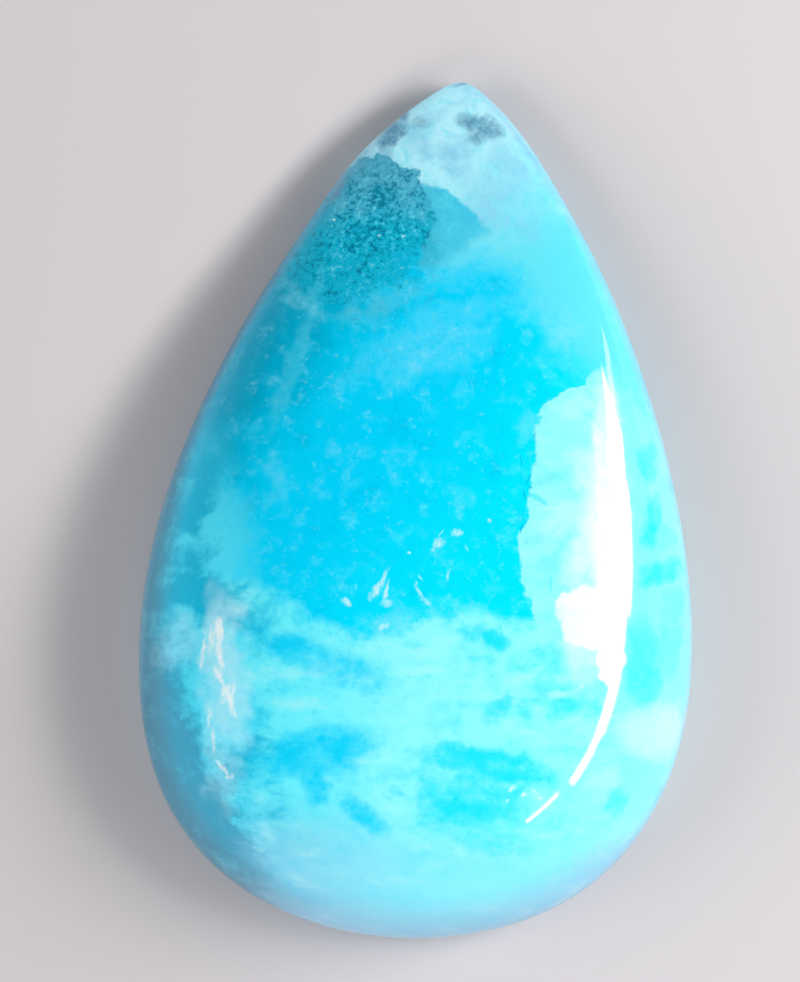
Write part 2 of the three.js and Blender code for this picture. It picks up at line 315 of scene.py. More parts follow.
class Nodes:
    """Builds one node tree, for a shape or for a material."""

    def __init__(self, tree):
        self.tree = tree

    def add(self, kind, settings=None, sockets=None, output=0):
        """Adds a node, sets it up, feeds its sockets, and gives one of its outputs."""
        node = self.tree.nodes.new(kind)
        for name, setting in (settings or {}).items():
            if name == "curve":
                self.bend(node, setting)
            else:
                setattr(node, name, setting)
        for key, value in (sockets or {}).items():
            self.feed(node.inputs[key], value)
        return Value(self, node.outputs[output]) if node.outputs else None

    def feed(self, socket, value):
        if isinstance(value, Value):
            self.tree.links.new(value.socket, socket)
        elif isinstance(value, (list, tuple)) and isinstance(value[0], Value):
            for one in value:
                self.tree.links.new(one.socket, socket)
        elif socket.type == "RGBA" and len(value) == 3:
            socket.default_value = (*value, 1)
        else:
            socket.default_value = value

    def bend(self, node, points):
        """Gives a Float Curve node its points."""
        line = node.mapping.curves[0]
        while len(line.points) < len(points):
            line.points.new(0.5, 0.5)
        for point, place in zip(line.points, sorted(points)):
            point.location = place
        node.mapping.update()

    def centred_noise(self, vector, size, **settings):
        """Noise whose three parts run from -0.5 to 0.5."""
        noise = self.noise(vector, size, output=1, **settings)
        return self.vector("SUBTRACT", noise, (0.5, 0.5, 0.5))

    def vector(self, operation, *terms, output=0):
        return self.add("ShaderNodeVectorMath", {"operation": operation}, dict(enumerate(terms)), output)

    def scaled(self, vector, factor):
        return self.add("ShaderNodeVectorMath", {"operation": "SCALE"}, {0: vector, "Scale": factor})

    def parts(self, vector):
        """The x, y and z of a vector."""
        split = self.add("ShaderNodeSeparateXYZ", None, {0: vector})
        node = split.socket.node
        return [Value(self, node.outputs[k]) for k in range(3)]

    def joined(self, x, y, z):
        return self.add("ShaderNodeCombineXYZ", None, {0: x, 1: y, 2: z})

    def smooth(self, value, low, high):
        """0 where value is at low, 1 where it is at high, and a soft step between them."""
        return self.add(
            "ShaderNodeMapRange",
            {"interpolation_type": "SMOOTHSTEP", "clamp": False},
            {"Value": value, "From Min": low, "From Max": high},
        )

    def mix(self, factor, low, high):
        """The colour low where factor is 0, and high where it is 1."""
        return self.add(
            "ShaderNodeMix", {"data_type": "RGBA"}, {0: factor, 6: low, 7: high}, output=2
        )

    def noise(self, vector, size, detail=3.0, roughness=0.5, distortion=0.0, output=0):
        """Cloudy noise from 0 to 1, whose lumps are about size across."""
        return self.add(
            "ShaderNodeTexNoise",
            None,
            {
                "Vector": vector, "Scale": 1 / size, "Detail": detail,
                "Roughness": roughness, "Distortion": distortion,
            },
            output,
        )

    def warped(self, place, source, size, reach):
        """A place pushed about by noise along x and y."""
        push = self.centred_noise(source, size)
        return self.vector("MULTIPLY_ADD", push, (2 * reach, 2 * reach, 0.0), place)

    def line_through(self, value, points):
        """A smooth line through points, each a value and the result for it, within 20 mm of 0."""
        reach = 20.0
        curve = [((a + reach) / (2 * reach), (b + reach) / (2 * reach)) for a, b in points]
        share = (value + reach) / (2 * reach)
        return self.add("ShaderNodeFloatCurve", {"curve": curve}, {"Value": share}) * (2 * reach) - reach

    def far_from(self, place, spot, more=0.0):
        """How far a place is from a spot's middle, squared, in spot sizes, and some more."""
        x, y, long, wide, turn, _ = spot
        rows = {}
        for name, angle, size in (("Along", turn, long), ("Across", turn + 90, wide)):
            step_x, step_y = math.cos(math.radians(angle)) / size, math.sin(math.radians(angle)) / size
            rows[name] = (step_x, step_y, -x * step_x - y * step_y)
        group = {"node_tree": spot_group(self.tree.bl_idname)}
        kind = self.tree.bl_idname.replace("Tree", "Group")
        return self.add(kind, group, {"Place": place, **rows, "More": more})

    def depth_in(self, place, spots):
        """How deep a place lies in the spot that it is deepest in: 1 in the middle, 0 at the edge."""
        nearest = None
        for spot in spots:
            far = self.far_from(place, spot, 1 - spot[-1])
            nearest = far if nearest is None else nearest.smallest(far)
        return 1 - nearest

    def spots(self, place, spots, softness):
        """How much any of the spots covers a place."""
        cover = None
        for spot in spots:
            here = self.add(
                "ShaderNodeMapRange", {"interpolation_type": "SMOOTHSTEP", "clamp": False},
                {
                    "Value": self.far_from(place, spot), "From Min": (1 + softness) ** 2,
                    "From Max": (1 - softness) ** 2, "To Max": spot[-1],
                },
            )
            cover = here if cover is None else cover.largest(here)
        return cover


def spot_group(kind):
    """A node group, made once for each kind of tree, that measures how far a place is from a spot."""
    name = "spot in " + kind
    if name in bpy.data.node_groups:
        return bpy.data.node_groups[name]
    tree = bpy.data.node_groups.new(name, kind)
    for socket in ("Place", "Along", "Across"):
        tree.interface.new_socket(socket, in_out="INPUT", socket_type="NodeSocketVector")
    tree.interface.new_socket("More", in_out="INPUT", socket_type="NodeSocketFloat")
    tree.interface.new_socket("Far", in_out="OUTPUT", socket_type="NodeSocketFloat")
    nodes = Nodes(tree)
    given = tree.nodes.new("NodeGroupInput")
    place, along, across, far = [Value(nodes, socket) for socket in given.outputs[:4]]
    for row in (along, across):
        reach = nodes.vector("DOT_PRODUCT", place, row, output="Value")
        far = reach.math("MULTIPLY_ADD", reach, reach, far)
    tree.links.new(far.socket, tree.nodes.new("NodeGroupOutput").inputs[0])
    return tree


def socket_of(tree, name, kind, default=None):
    """Adds a named input to a node tree, and gives its identifier."""
    made = tree.interface.new_socket(name, in_out="INPUT", socket_type=kind)
    if default is not None:
        made.default_value = default
    return made.identifier


class ShapeTree(Nodes):
    """The Geometry Nodes tree that cuts the stone."""

    def __init__(self, name, inputs):
        super().__init__(bpy.data.node_groups.new(name, "GeometryNodeTree"))
        self.tree.interface.new_socket("Outline", in_out="INPUT", socket_type="NodeSocketGeometry")
        self.identifiers = {n: socket_of(self.tree, n, kind) for n, kind, _ in inputs}
        self.tree.interface.new_socket("Stone", in_out="OUTPUT", socket_type="NodeSocketGeometry")
        self.group = self.tree.nodes.new("NodeGroupInput")

    def given(self, name):
        """One of the tree's named inputs."""
        return Value(self, self.group.outputs[name])

    def sine(self, turns):
        """The sine of a number of quarter turns."""
        angle = turns * (math.pi / 2)
        return angle.math("SINE", angle)

    def outline_at(self, share):
        """The point of the pear's outline at a share of its length, stretched to the stone's size."""
        outline = self.given("Outline")
        box = self.add("GeometryNodeBoundBox", None, {"Geometry": outline, "Use Radius": False})
        low = Value(self, box.socket.node.outputs["Min"])
        high = Value(self, box.socket.node.outputs["Max"])
        centre = self.scaled(self.vector("ADD", low, high), 0.5)
        span = self.vector("SUBTRACT", high, low)
        wanted = self.joined(self.given("Width"), self.given("Length"), 1.0)
        point = self.add(
            "GeometryNodeSampleCurve", {"mode": "FACTOR"}, {"Curves": outline, "Factor": share},
            output="Position",
        )
        stretch = self.vector("DIVIDE", wanted, span)
        return self.vector("MULTIPLY", self.vector("SUBTRACT", point, centre), stretch)

    def drawn_out(self, around, share):
        """The place seen from above of a ring's point, on the line from the crown to the outline."""
        crown = self.given("Crown")
        reach = self.vector("SUBTRACT", self.outline_at(around), crown)
        return self.vector("ADD", crown, self.scaled(reach, share))

    def placed(self, geometry, place):
        """Geometry with its points put at new places."""
        return self.add("GeometryNodeSetPosition", None, {"Geometry": geometry, "Position": place})

    def wall(self):
        """A thin wall that stands on the outline, for measuring across the stone."""
        count = 3000  # faces along the wall
        line = self.add("GeometryNodeMeshLine", {"mode": "END_POINTS"}, {"Count": count + 1})
        index = self.add("GeometryNodeInputIndex")
        standing = self.placed(line, self.outline_at(index / count))
        return self.add(
            "GeometryNodeExtrudeMesh",
            {"mode": "EDGES"},
            {"Mesh": standing, "Offset": self.joined(0.0, 0.0, 1.0), "Offset Scale": WALL_HEIGHT},
        )

    def side_of(self, wall, place, direction):
        """Where the outline is, straight across the stone from a place."""
        start = self.vector("MULTIPLY", place, (1.0, 1.0, 0.0))
        start = self.vector("ADD", start, (0.0, 0.0, WALL_HEIGHT / 2))
        hit = self.add(
            "GeometryNodeRaycast",
            None,
            {
                "Target Geometry": wall, "Source Position": start,
                "Ray Direction": self.joined(direction, 0.0, 0.0), "Ray Length": MEASURING_REACH,
            },
            output="Hit Position",
        )
        return self.parts(hit)[0]

    def dome_height(self, place, wall):
        """The dome over a place: like sections across the stone, lower where it is narrower."""
        x, y, _ = self.parts(place)
        left = self.side_of(wall, place, -1.0)
        right = self.side_of(wall, place, 1.0)
        middle = (left + right) / 2
        half = ((right - left) / 2).largest(MM * MM)
        crown_y = self.parts(self.given("Crown"))[1]
        fall = 1 + (self.given("Tip Power") - 1) * (y > crown_y)
        ridge = (half * 2 / self.given("Width")).smallest(1.0) ** fall
        aside = abs((x - middle) / half).smallest(1.0)
        arch = (1 - aside ** self.given("Section Power")).largest(0.0) ** 0.5
        low = self.given("Girdle High")
        return low + (self.given("Thickness") - low) * ridge * arch

    def dome(self, wall):
        """A square grid whose square rings are drawn out to the pear, so that no faces crowd the crown."""
        rings = self.given("Dome Rings")
        count = rings * 2 + 1
        grid = self.add(
            "GeometryNodeMeshGrid", None,
            {"Size X": 2.0, "Size Y": 2.0, "Vertices X": count, "Vertices Y": count},
        )
        a, b, _ = self.parts(self.add("GeometryNodeInputPosition"))
        ring = abs(a).largest(abs(b))
        on_side = 1 - (abs(a) < abs(b))
        side = 0.5 * (a < 0.0) + b / a / 8
        end = 0.25 + 0.5 * (b < 0.0) - a / b / 8
        turn = end + on_side * (side - end)
        around = turn.math("FRACT", turn)
        place = self.drawn_out(around, self.sine(ring))
        x, y, _ = self.parts(place)
        low = self.given("Girdle High")
        inside = ring < 0.99999
        height = low + inside * (self.dome_height(place, wall) - low)
        return self.placed(grid, self.joined(x, y, height))

    def skirt(self):
        """The girdle, the bevel below it and the flat back, as rings of the same number of points."""
        girdle_rings, bevel_rings, back_rings = 2, 6, 4
        rings = girdle_rings + bevel_rings + back_rings
        grid = self.add(
            "GeometryNodeMeshGrid", None,
            {
                "Size X": 1.0, "Size Y": 1.0,
                "Vertices X": self.given("Dome Rings") * 8 + 1, "Vertices Y": rings + 1,
            },
        )
        across, down, _ = self.parts(self.add("GeometryNodeInputPosition"))
        ring = (down + 0.5) * rings
        on_girdle = (ring / girdle_rings).smallest(1.0)
        on_bevel = ((ring - girdle_rings) / bevel_rings).smallest(1.0).largest(0.0)
        on_back = ((ring - girdle_rings - bevel_rings) / back_rings).largest(0.0)
        inset = self.given("Bevel Share") * (1 - self.sine(1 - on_bevel))
        low = self.given("Girdle Low")
        high = self.given("Girdle High")
        height = high + (low - high) * on_girdle - low * self.sine(on_bevel)
        x, y, _ = self.parts(self.drawn_out(0.5 - across, (1 - inset) * (1 - on_back)))
        return self.placed(grid, self.joined(x, y, height))

    def pit_points(self, stone):
        """The pits' places, flattened into the plane of the back."""
        chosen = [
            self.add("GeometryNodePoints", None, {"Count": 1, "Position": (x * MM, y * MM, 0.0)})
            for x, y in PITS
        ]
        scattered = self.add(
            "GeometryNodeDistributePointsOnFaces", None,
            {"Mesh": stone, "Density": self.given("Pit Density"), "Seed": self.given("Seed")},
        )
        points = self.add("GeometryNodeJoinGeometry", None, {0: [*chosen, scattered]})
        x, y, _ = self.parts(self.add("GeometryNodeInputPosition"))
        return self.placed(points, self.joined(x, y, 0.0))

    def worn(self, stone):
        """The stone with the shallow unevenness of hand polishing, and with its pits."""
        place = self.add("GeometryNodeInputPosition")
        normal = self.add("GeometryNodeInputNormal")
        x, y, z = self.parts(place)
        swell = self.noise(place, self.given("Swell Size"), detail=1.0)
        near = self.add(
            "GeometryNodeProximity", {"target_element": "POINTS"},
            {"Target": self.pit_points(stone), "Source Position": self.joined(x, y, 0.0)},
            output="Distance",
        )
        dent = self.smooth(near, self.given("Pit Radius"), 0.0)
        on_dome = self.smooth(z, 1.6 * MM, 3.0 * MM)
        drop = self.given("Swell Height") * swell * self.smooth(z, 0.0, 1.5 * MM)
        drop = drop + self.given("Pit Depth") * dent * on_dome
        return self.add(
            "GeometryNodeSetPosition", None,
            {"Geometry": stone, "Offset": self.scaled(normal, 0 - drop)},
        )

    def pattern(self, wall):
        """The soft fields of the stone's pattern, by name, in millimetres seen from above."""
        place = self.scaled(self.add("GeometryNodeInputPosition"), 1 / MM)
        x, y, z = self.parts(place)
        on_back = self.smooth(z, 0.9, 0.0)
        drift_size, drift_reach = 9.0, 22.0
        drift = self.scaled(self.centred_noise(place, drift_size, detail=1.0), on_back * drift_reach)
        flat = self.vector("MULTIPLY_ADD", drift, (1.0, 1.0, 0.0), self.joined(x, y, 1.0))
        ragged = self.warped(flat, place, 0.9, 0.55)
        cloudy = self.warped(self.warped(flat, place, 2.6, 1.5), place, 0.6, 0.6)
        x, y, _ = self.parts(ragged)
        front = 1 - on_back
        streaked = self.vector("MULTIPLY", place, (0.35, 1.0, 1.0))
        streak = self.noise(streaked, 0.9, detail=5.0, roughness=0.6, distortion=0.4)
        on_floor = self.vector("MULTIPLY", self.add("GeometryNodeInputPosition"), (1.0, 1.0, 0.0))
        inward = self.add(
            "GeometryNodeProximity", {"target_element": "FACES"},
            {"Target": wall, "Source Position": on_floor}, output="Distance",
        )
        wedge = self.smooth(y - self.line_through(x, WEDGE_FOOT), -0.5, 0.4) * self.smooth(x, 0.0, 0.3)
        fields = {
            "cloud_edge": self.line_through(x, CLOUD_EDGE) - y + (streak - 0.5) * 1.8,
            "mint_edge": x - self.line_through(y, MINT_EDGE),
            "mint_cover": self.smooth(y, -7.0, -4.6),
            "inward": inward * (1 / MM),
            "tip_edge": y - self.line_through(x, TIP_EDGE),
            "wedge_edge": self.line_through(x, WEDGE_TOP) - y,
            "wedge_cover": wedge,
            "grain_edge": self.line_through(x, GRAIN_EDGE) - y,
            "white_block": self.depth_in(ragged, WHITE_BLOCK_AND_GLEAM) * front,
        }
        for name, (spots, softness) in RAGGED_SPOTS.items():
            fields[name] = self.spots(ragged, spots, softness)
        for name, (spots, softness) in CLOUDY_SPOTS.items():
            fields[name] = self.spots(cloudy, spots, softness)
        for name in FRONT_ONLY:
            fields[name] = fields[name] * front
        return fields

    def patterned(self, stone, wall):
        """The stone with its pattern's fields on its points, for the finish to read."""
        for name, field in self.pattern(wall).items():
            stone = self.add(
                "GeometryNodeStoreNamedAttribute", {"data_type": "FLOAT", "domain": "POINT"},
                {"Geometry": stone, "Name": name, "Value": field},
            )
        return stone

    def finish(self, stone):
        """Ends the tree, with its instances made real and its material set."""
        smooth = self.add("GeometryNodeSetShadeSmooth", None, {0: stone})
        real = self.add("GeometryNodeRealizeInstances", None, {0: smooth})
        done = self.add(
            "GeometryNodeSetMaterial", None, {"Geometry": real, "Material": self.given("Finish")}
        )
        self.tree.links.new(done.socket, self.tree.nodes.new("NodeGroupOutput").inputs[0])


def shape_inputs(sizes, finish):
    """The named inputs of the stone's tree: name, socket type and value."""
    length = "NodeSocketFloat"
    return [
        ("Length", length, sizes.length),
        ("Width", length, sizes.width),
        ("Thickness", length, sizes.thickness),
        ("Girdle Low", length, sizes.girdle_low),
        ("Girdle High", length, sizes.girdle_high),
        ("Bevel Share", length, sizes.bevel_share),
        ("Crown", "NodeSocketVector", (0.0, sizes.crown_y, 0.0)),
        ("Section Power", length, sizes.section_power),
        ("Tip Power", length, sizes.tip_power),
        ("Dome Rings", "NodeSocketInt", sizes.dome_rings),
        ("Swell Height", length, sizes.swell_height),
        ("Swell Size", length, sizes.swell_size),
        ("Pit Radius", length, sizes.pit_radius),
        ("Pit Depth", length, sizes.pit_depth),
        ("Pit Density", length, sizes.pit_density),
        ("Seed", "NodeSocketInt", sizes.seed),
        ("Finish", "NodeSocketMaterial", finish),
    ]


def outline_curve():
    """The pear's outline as a closed curve that its points pull into shape."""
    curve = bpy.data.curves.new("outline", "CURVE")
    line = curve.splines.new("NURBS")
    line.points.add(len(OUTLINE) - 1)
    for point, (x, y) in zip(line.points, OUTLINE):
        point.co = (x * MM, y * MM, 0.0, 1.0)
    line.order_u = 4
    line.resolution_u = 64
    line.use_cyclic_u = True
    outline = bpy.data.objects.new("outline", curve)
    bpy.context.scene.collection.objects.link(outline)
    return outline


def cut_stone(sizes, finish):
    """Runs the shape tree on the outline and keeps its result as one plain mesh."""
    inputs = shape_inputs(sizes, finish)
    shape = ShapeTree("cabochon shape", inputs)
    wall = shape.wall()
    parts = [shape.dome(wall), shape.skirt()]
    joined = shape.add("GeometryNodeJoinGeometry", None, {0: parts})
    closed = shape.add("GeometryNodeMergeByDistance", None, {"Geometry": joined, "Distance": SEAM_GAP})
    shape.finish(shape.worn(shape.patterned(closed, wall)))
    outline = outline_curve()
    cutter = outline.modifiers.new("cut", "NODES")
    cutter.node_group = shape.tree
    for name, _, value in inputs:
        cutter[shape.identifiers[name]] = value
    outline.update_tag()
    evaluated = outline.evaluated_get(bpy.context.evaluated_depsgraph_get())
    mesh = bpy.data.meshes.new_from_object(evaluated)
    outline.modifiers.remove(cutter)
    bpy.data.objects.remove(outline)
    stone = bpy.data.objects.new("calcite_cabochon", mesh)
    bpy.context.scene.collection.objects.link(stone)
    return stone


class CalciteMaterial(Nodes):
    """The stone's finish: milky clouds, a cyan body and a pale tip, polished. Places are in millimetres."""

    def __init__(self, colours):
        self.material = bpy.data.materials.new("polished calcite")
        self.material.use_nodes = True
        super().__init__(self.material.node_tree)
        self.tree.nodes.clear()
        self.colours = colours
        object_place = self.add("ShaderNodeTexCoord", None, None, output="Object")
        self.place = self.scaled(object_place, 1 / MM)
        self.x, self.y, self.z = self.parts(self.place)
        flat = self.joined(self.x, self.y, 1.0)
        self.fine = self.warped(flat, self.place, 0.3, 0.12)
        self.fleck = self.noise(self.place, 0.5, detail=5.0, roughness=0.75)
        streaked = self.add(
            "ShaderNodeMapping", None,
            {"Vector": self.place, "Rotation": (0.0, 0.0, math.radians(9)), "Scale": (0.4, 1.0, 1.0)},
        )
        self.streak = self.noise(streaked, 1.1, detail=5.0, roughness=0.6, distortion=0.3)
        self.on_back = self.smooth(self.z, 0.9, 0.0)
        self.on_front = 1 - self.on_back

    def field(self, name):
        """One of the fields that the shape tree left on the stone's points."""
        return self.add("ShaderNodeAttribute", {"attribute_name": name}, None, output="Fac")

    def edge(self, name, low, high, rough=0.3):
        """1 on the inner side of an edge and 0 on the outer, broken up by the flecks of the stone."""
        return self.smooth(self.field(name) + (self.fleck - 0.5) * rough, low, high)

    def cover(self, name, rough=1.6):
        """How much a kind of spot covers the place, mottled by the flecks of the stone."""
        return self.field(name) * ((self.fleck - 0.5) * rough + 1).largest(0.0)

    def strokes(self, spots, softness):
        """How much any of the small spots covers the place, with finely frayed ends."""
        return self.smooth(self.depth_in(self.fine, spots), -softness, softness) * self.on_front

    def body(self):
        """The cyan body, deep on the left and bright on the right, with faint mottles."""
        c = self.colours
        mottle = self.noise(self.place, 1.3, detail=5.0, roughness=0.65)
        across = self.x * 0.8 - self.y * 0.6 + (mottle - 0.5) * 4
        colour = self.mix(self.smooth(across, -10.5, -5.0), c.deep, c.body)
        colour = self.mix(self.smooth(across, -4.0, 4.0), colour, c.bright)
        specks = self.noise(self.place, 0.75, detail=4.0, roughness=0.55)
        colour = self.mix(self.smooth(mottle, 0.55, 0.85) * 0.12, colour, c.mint)
        colour = self.mix(self.smooth(specks + (mottle - 0.5) * 0.5, 0.5, 0.85) * 0.17, colour, c.pale_spot)
        salt = self.noise(self.place, 0.24, detail=2.0, roughness=0.6) + (specks - 0.5) * 0.7
        colour = self.mix(self.smooth(salt, 0.6, 0.82) * 0.22, colour, c.pale_spot)
        return self.mix(self.smooth(mottle, 0.45, 0.25) * 0.25, colour, c.deep)

    def left_side(self, colour):
        """The left side, where streaks of cloud run across a duller teal."""
        ragged = (self.streak - 0.5) * 4 + (self.fleck - 0.5) * 2
        side = self.smooth(self.x + self.y.largest(-1.0) * 0.4 + ragged, -6.4, -9.0)
        side = side * self.smooth(self.y + ragged, 6.0, 1.0)
        return self.mix(side, colour, self.left_clouds())

    def left_clouds(self):
        """The left side's mottled tone, duller downwards where a bluish reflection is painted in."""
        c = self.colours
        # Low on the left the dull tone is a painted bluish reflection.
        low = self.smooth(self.y, -4.0, -8.0) * self.smooth(self.x + (self.y + 12) * 0.5, -7.0, -9.0)
        dark = self.mix(low, c.left_dark, c.left_low)
        tone = self.field("left_cloud") * 0.75 - self.field("left_shade") * 0.75
        tone = tone + (self.streak - 0.5) * 2.2 + (self.fleck - 0.5) * 1.2 + 0.35
        return self.mix(self.smooth(tone, 0.0, 1.0), dark, c.left_cloud)

    def cloudy_end(self, colour):
        """The milky round end, and the cyan that shows between its clouds."""
        c = self.colours
        x, y = self.x, self.y
        cover = self.edge("cloud_edge", -0.3, 0.9, 1.5)
        pale = self.mix(self.smooth(x, -6.0, 0.5), c.cloud_left, c.cloud)
        beside = self.smooth(x + y * 0.5 + (self.streak - 0.5) * 6, -11.0, -15.0)
        pale = self.mix(beside, pale, self.left_clouds())
        pale = self.mix(self.smooth(y, -13.0, -15.5) * self.smooth(x, -9.5, -4.5), pale, c.cloud_low)
        # Painted reflection: the pale lilac of the edge, reaching in low on the milky end.
        pale = self.mix(self.smooth(y, -11.5, -15.0) * self.smooth(x, 1.5, -6.0) * 0.4, pale, c.rim)
        pale = self.mix(self.smooth(self.streak, 0.52, 0.72) * 0.35, pale, c.white_cloud)
        shown = self.mix(self.smooth(x, -3.0, 1.0), c.patch_left, c.patch_right)
        calm = self.smooth(y, -17.0, -12.0) * 0.6 + 0.4
        blotch = self.noise(self.place, 1.5, detail=4.0, roughness=0.6)
        broken = (self.streak - 0.5) * 1.5 + (self.fleck - 0.5) * 1.1 + (blotch - 0.53) * 1.6
        tone = self.field("cyan_patch") * 0.9 - broken * calm
        pale = self.mix(self.smooth(tone, -0.15, 1.15), pale, shown)
        return self.mix(cover, colour, pale)

    def mint_side(self, colour):
        """The mint patch and the paler right side beyond it, with the white block and a painted highlight
        between them. The mint patch and the white block are partly painted reflection of the window.
        """
        c = self.colours
        dull = self.smooth(self.streak + (self.fleck - 0.5) * 0.4, 0.5, 0.3) * 0.35
        mint = self.mix(dull, c.mint, c.patch_right)
        mint = self.mix(self.smooth(self.streak, 0.5, 0.7) * 0.5, mint, c.white_cloud)
        # The mint patch: pale mint stone, partly brightened by a painted reflection of the window.
        colour = self.mix(self.edge("mint_edge", -0.05, 0.14, 0.6) * self.field("mint_cover"), colour, mint)
        right = self.smooth(self.x, 8.6, 9.6) * self.smooth(self.y, 6.5, 4.5)
        colour = self.mix(right, colour, c.right)
        colour = self.mix(self.cover("right_patch"), colour, c.patch_right)
        colour = self.mix(self.cover("white_cloud", 1.0), colour, c.white_cloud)
        # Painted highlight along the inner side of the window's gleam.
        colour = self.mix(self.cover("haze", 1.2), colour, c.white)
        # Whitish stone under a painted reflection of the window.
        block = self.edge("white_block", -0.15, 0.35, 1.0) * (self.streak * 0.5 + 0.55)
        colour = self.mix(block, colour, c.white)
        return self.mix(self.strokes(NOTCHES, 0.4) * 0.5, colour, c.bright)

    def tip(self, colour):
        """The pale tip, with the teal wedge and the grainy patch that cut into it."""
        c = self.colours
        fibre = self.noise(self.place, 0.8, detail=5.0, roughness=0.75, distortion=0.8)
        reach = self.y - self.x * 0.6 + (self.fleck - 0.5) * 3
        pale = self.mix(self.smooth(reach, 7.0, 16.0), c.tip_low, c.tip)
        pale = self.mix(self.smooth(fibre, 0.55, 0.3) * 0.6, pale, c.tip_low)
        pale = self.mix(self.cover("lilac_cloud", 3.0), pale, c.lilac)
        colour = self.mix(self.edge("tip_edge", -2.4, 0.7, 2.4), colour, pale)
        wedge = self.mix(self.smooth(fibre, 0.4, 0.7) * 0.55, c.wedge, c.tip_low)
        wedge = self.mix(self.smooth(self.x + (fibre - 0.5) * 2, 1.6, 0.4) * 0.4, wedge, c.grain_top)
        cover = self.edge("wedge_edge", -0.1, 0.22, 0.6) * self.field("wedge_cover")
        colour = self.mix(cover, colour, wedge)
        return self.grain(colour)

    def grain(self, colour):
        """Short felted strokes of dark and light teal, which get fewer where the patch thins out."""
        c = self.colours
        cover = self.edge("grain_edge", -0.03, 0.2, 0.4) * self.field("grain_cover")
        strokes = self.noise(self.place, 0.22, detail=4.0, roughness=0.75, distortion=0.5)
        clumps = self.noise(self.place, 1.0, detail=3.0, roughness=0.6) - 0.5
        ground = self.mix(self.smooth(self.y + clumps * 4, 12.0, 15.0), c.grain_low, c.grain_top)
        colour = self.mix(self.smooth(cover + (self.fleck - 0.5) * 0.9, 0.05, 0.65), colour, ground)
        thin = (1 - cover) * 0.09
        shown = self.smooth(cover, 0.0, 0.55)
        dark = self.smooth(strokes + clumps * 0.5 + thin, 0.53, 0.36) * shown
        colour = self.mix(dark * self.smooth(self.y, 17.5, 14.0) * 0.9, colour, c.grain_dark)
        light = self.smooth(strokes + clumps * 0.4 - thin, 0.52, 0.7) * shown
        return self.mix(light * self.smooth(self.y, 16.5, 13.5) * 0.75, colour, c.grain_light)

    def flaws(self, colour):
        """The smudges, veils, wisps, cracks and flecks of the front."""
        c = self.colours
        hair = self.vector("MULTIPLY", self.place, (1.0, 0.4, 1.0))
        hair = self.noise(hair, 0.2, detail=4.0, roughness=0.75, distortion=0.5) - 0.5
        colour = self.mix(self.cover("veil", 2.5), colour, c.veil)
        colour = self.mix(self.cover("pale_spot", 4.5) * 0.4, colour, c.pale_spot)
        colour = self.mix(self.cover("smudge", 3.0), colour, c.smudge)
        colour = self.mix(self.cover("glow", 1.6), colour, c.tip)
        colour = self.mix(self.strokes(CRACKS, 0.6) * 0.6, colour, c.crack)
        wisp = self.smooth(self.depth_in(self.fine, WISPS) + hair * 4.0, -0.8, 1.5)
        colour = self.mix(wisp * self.on_front, colour, c.white)
        fleck = self.smooth(self.depth_in(self.fine, FLECKS) + hair * 3.2, -0.6, 1.2)
        return self.mix(fleck * self.on_front, colour, c.white_cloud)

    def rim(self, colour):
        """Painted shade in a band inside the outline, widest low on the left, and a painted pale reflection
        on the thin edge outside it.
        """
        c = self.colours
        inward = self.field("inward") + (self.fleck - 0.5) * 0.4 + (self.streak - 0.5) * 0.4
        # Painted shade: a darker band inside the left edge, fading towards the tip.
        leftward = self.smooth(self.x - self.y * 0.2, 2.0, -4.0)
        band = self.smooth(self.y, 6.0, -5.0) * 1.3 + 0.5
        shade = self.smooth(inward / band, 1.0, 0.1) * leftward * self.smooth(self.y, 15.5, 9.0)
        colour = self.mix(shade * 0.85, colour, c.rim_shade)
        # Painted reflection: a pale lilac band inside the lower edge.
        low = self.smooth(self.y, -12.0, -16.0) * self.smooth(self.x, -9.0, -3.0)
        colour = self.mix(self.smooth(inward, 2.4, 0.2) * low * 0.8, colour, c.rim)
        wall = self.smooth(self.field("inward"), 0.9, 0.1) * (1 - leftward * 0.8)
        colour = self.mix(wall * self.smooth(self.streak, 0.5, 0.3) * 0.45, colour, c.wedge)
        colour = self.mix(wall * self.smooth(self.streak, 0.52, 0.68) * 0.35, colour, c.white_cloud)
        # Painted reflection: a thin pale line on the edge itself.
        kept = 0.5 - leftward * (self.smooth(self.y, -6.0, -10.0) * 0.2 + 0.3)
        return self.mix(self.smooth(inward, 0.5, 0.1) * kept, colour, c.rim)

    def build(self):
        c = self.colours
        colour = self.left_side(self.cloudy_end(self.body()))
        colour = self.flaws(self.tip(self.mint_side(colour)))
        colour = self.mix(self.smooth(self.fleck, 0.62, 0.78) * 0.25, colour, c.white_cloud)
        colour = self.mix(self.smooth(self.fleck, 0.4, 0.26) * 0.22, colour, c.crack)
        colour = self.rim(colour)
        roughness = self.fleck * 0.05 + 0.03 + self.on_back * 0.28
        shader = self.add(
            "ShaderNodeBsdfPrincipled", None,
            {"Base Color": colour, "Roughness": roughness, "IOR": 1.55},
        )
        self.add("ShaderNodeOutputMaterial", None, {"Surface": shader})
        return self.material


def length_setting(name, description, default, precision=4):
    """A size setting, in metres."""
    return FloatProperty(
        name=name, description=description, default=default, unit="LENGTH", precision=precision,
    )


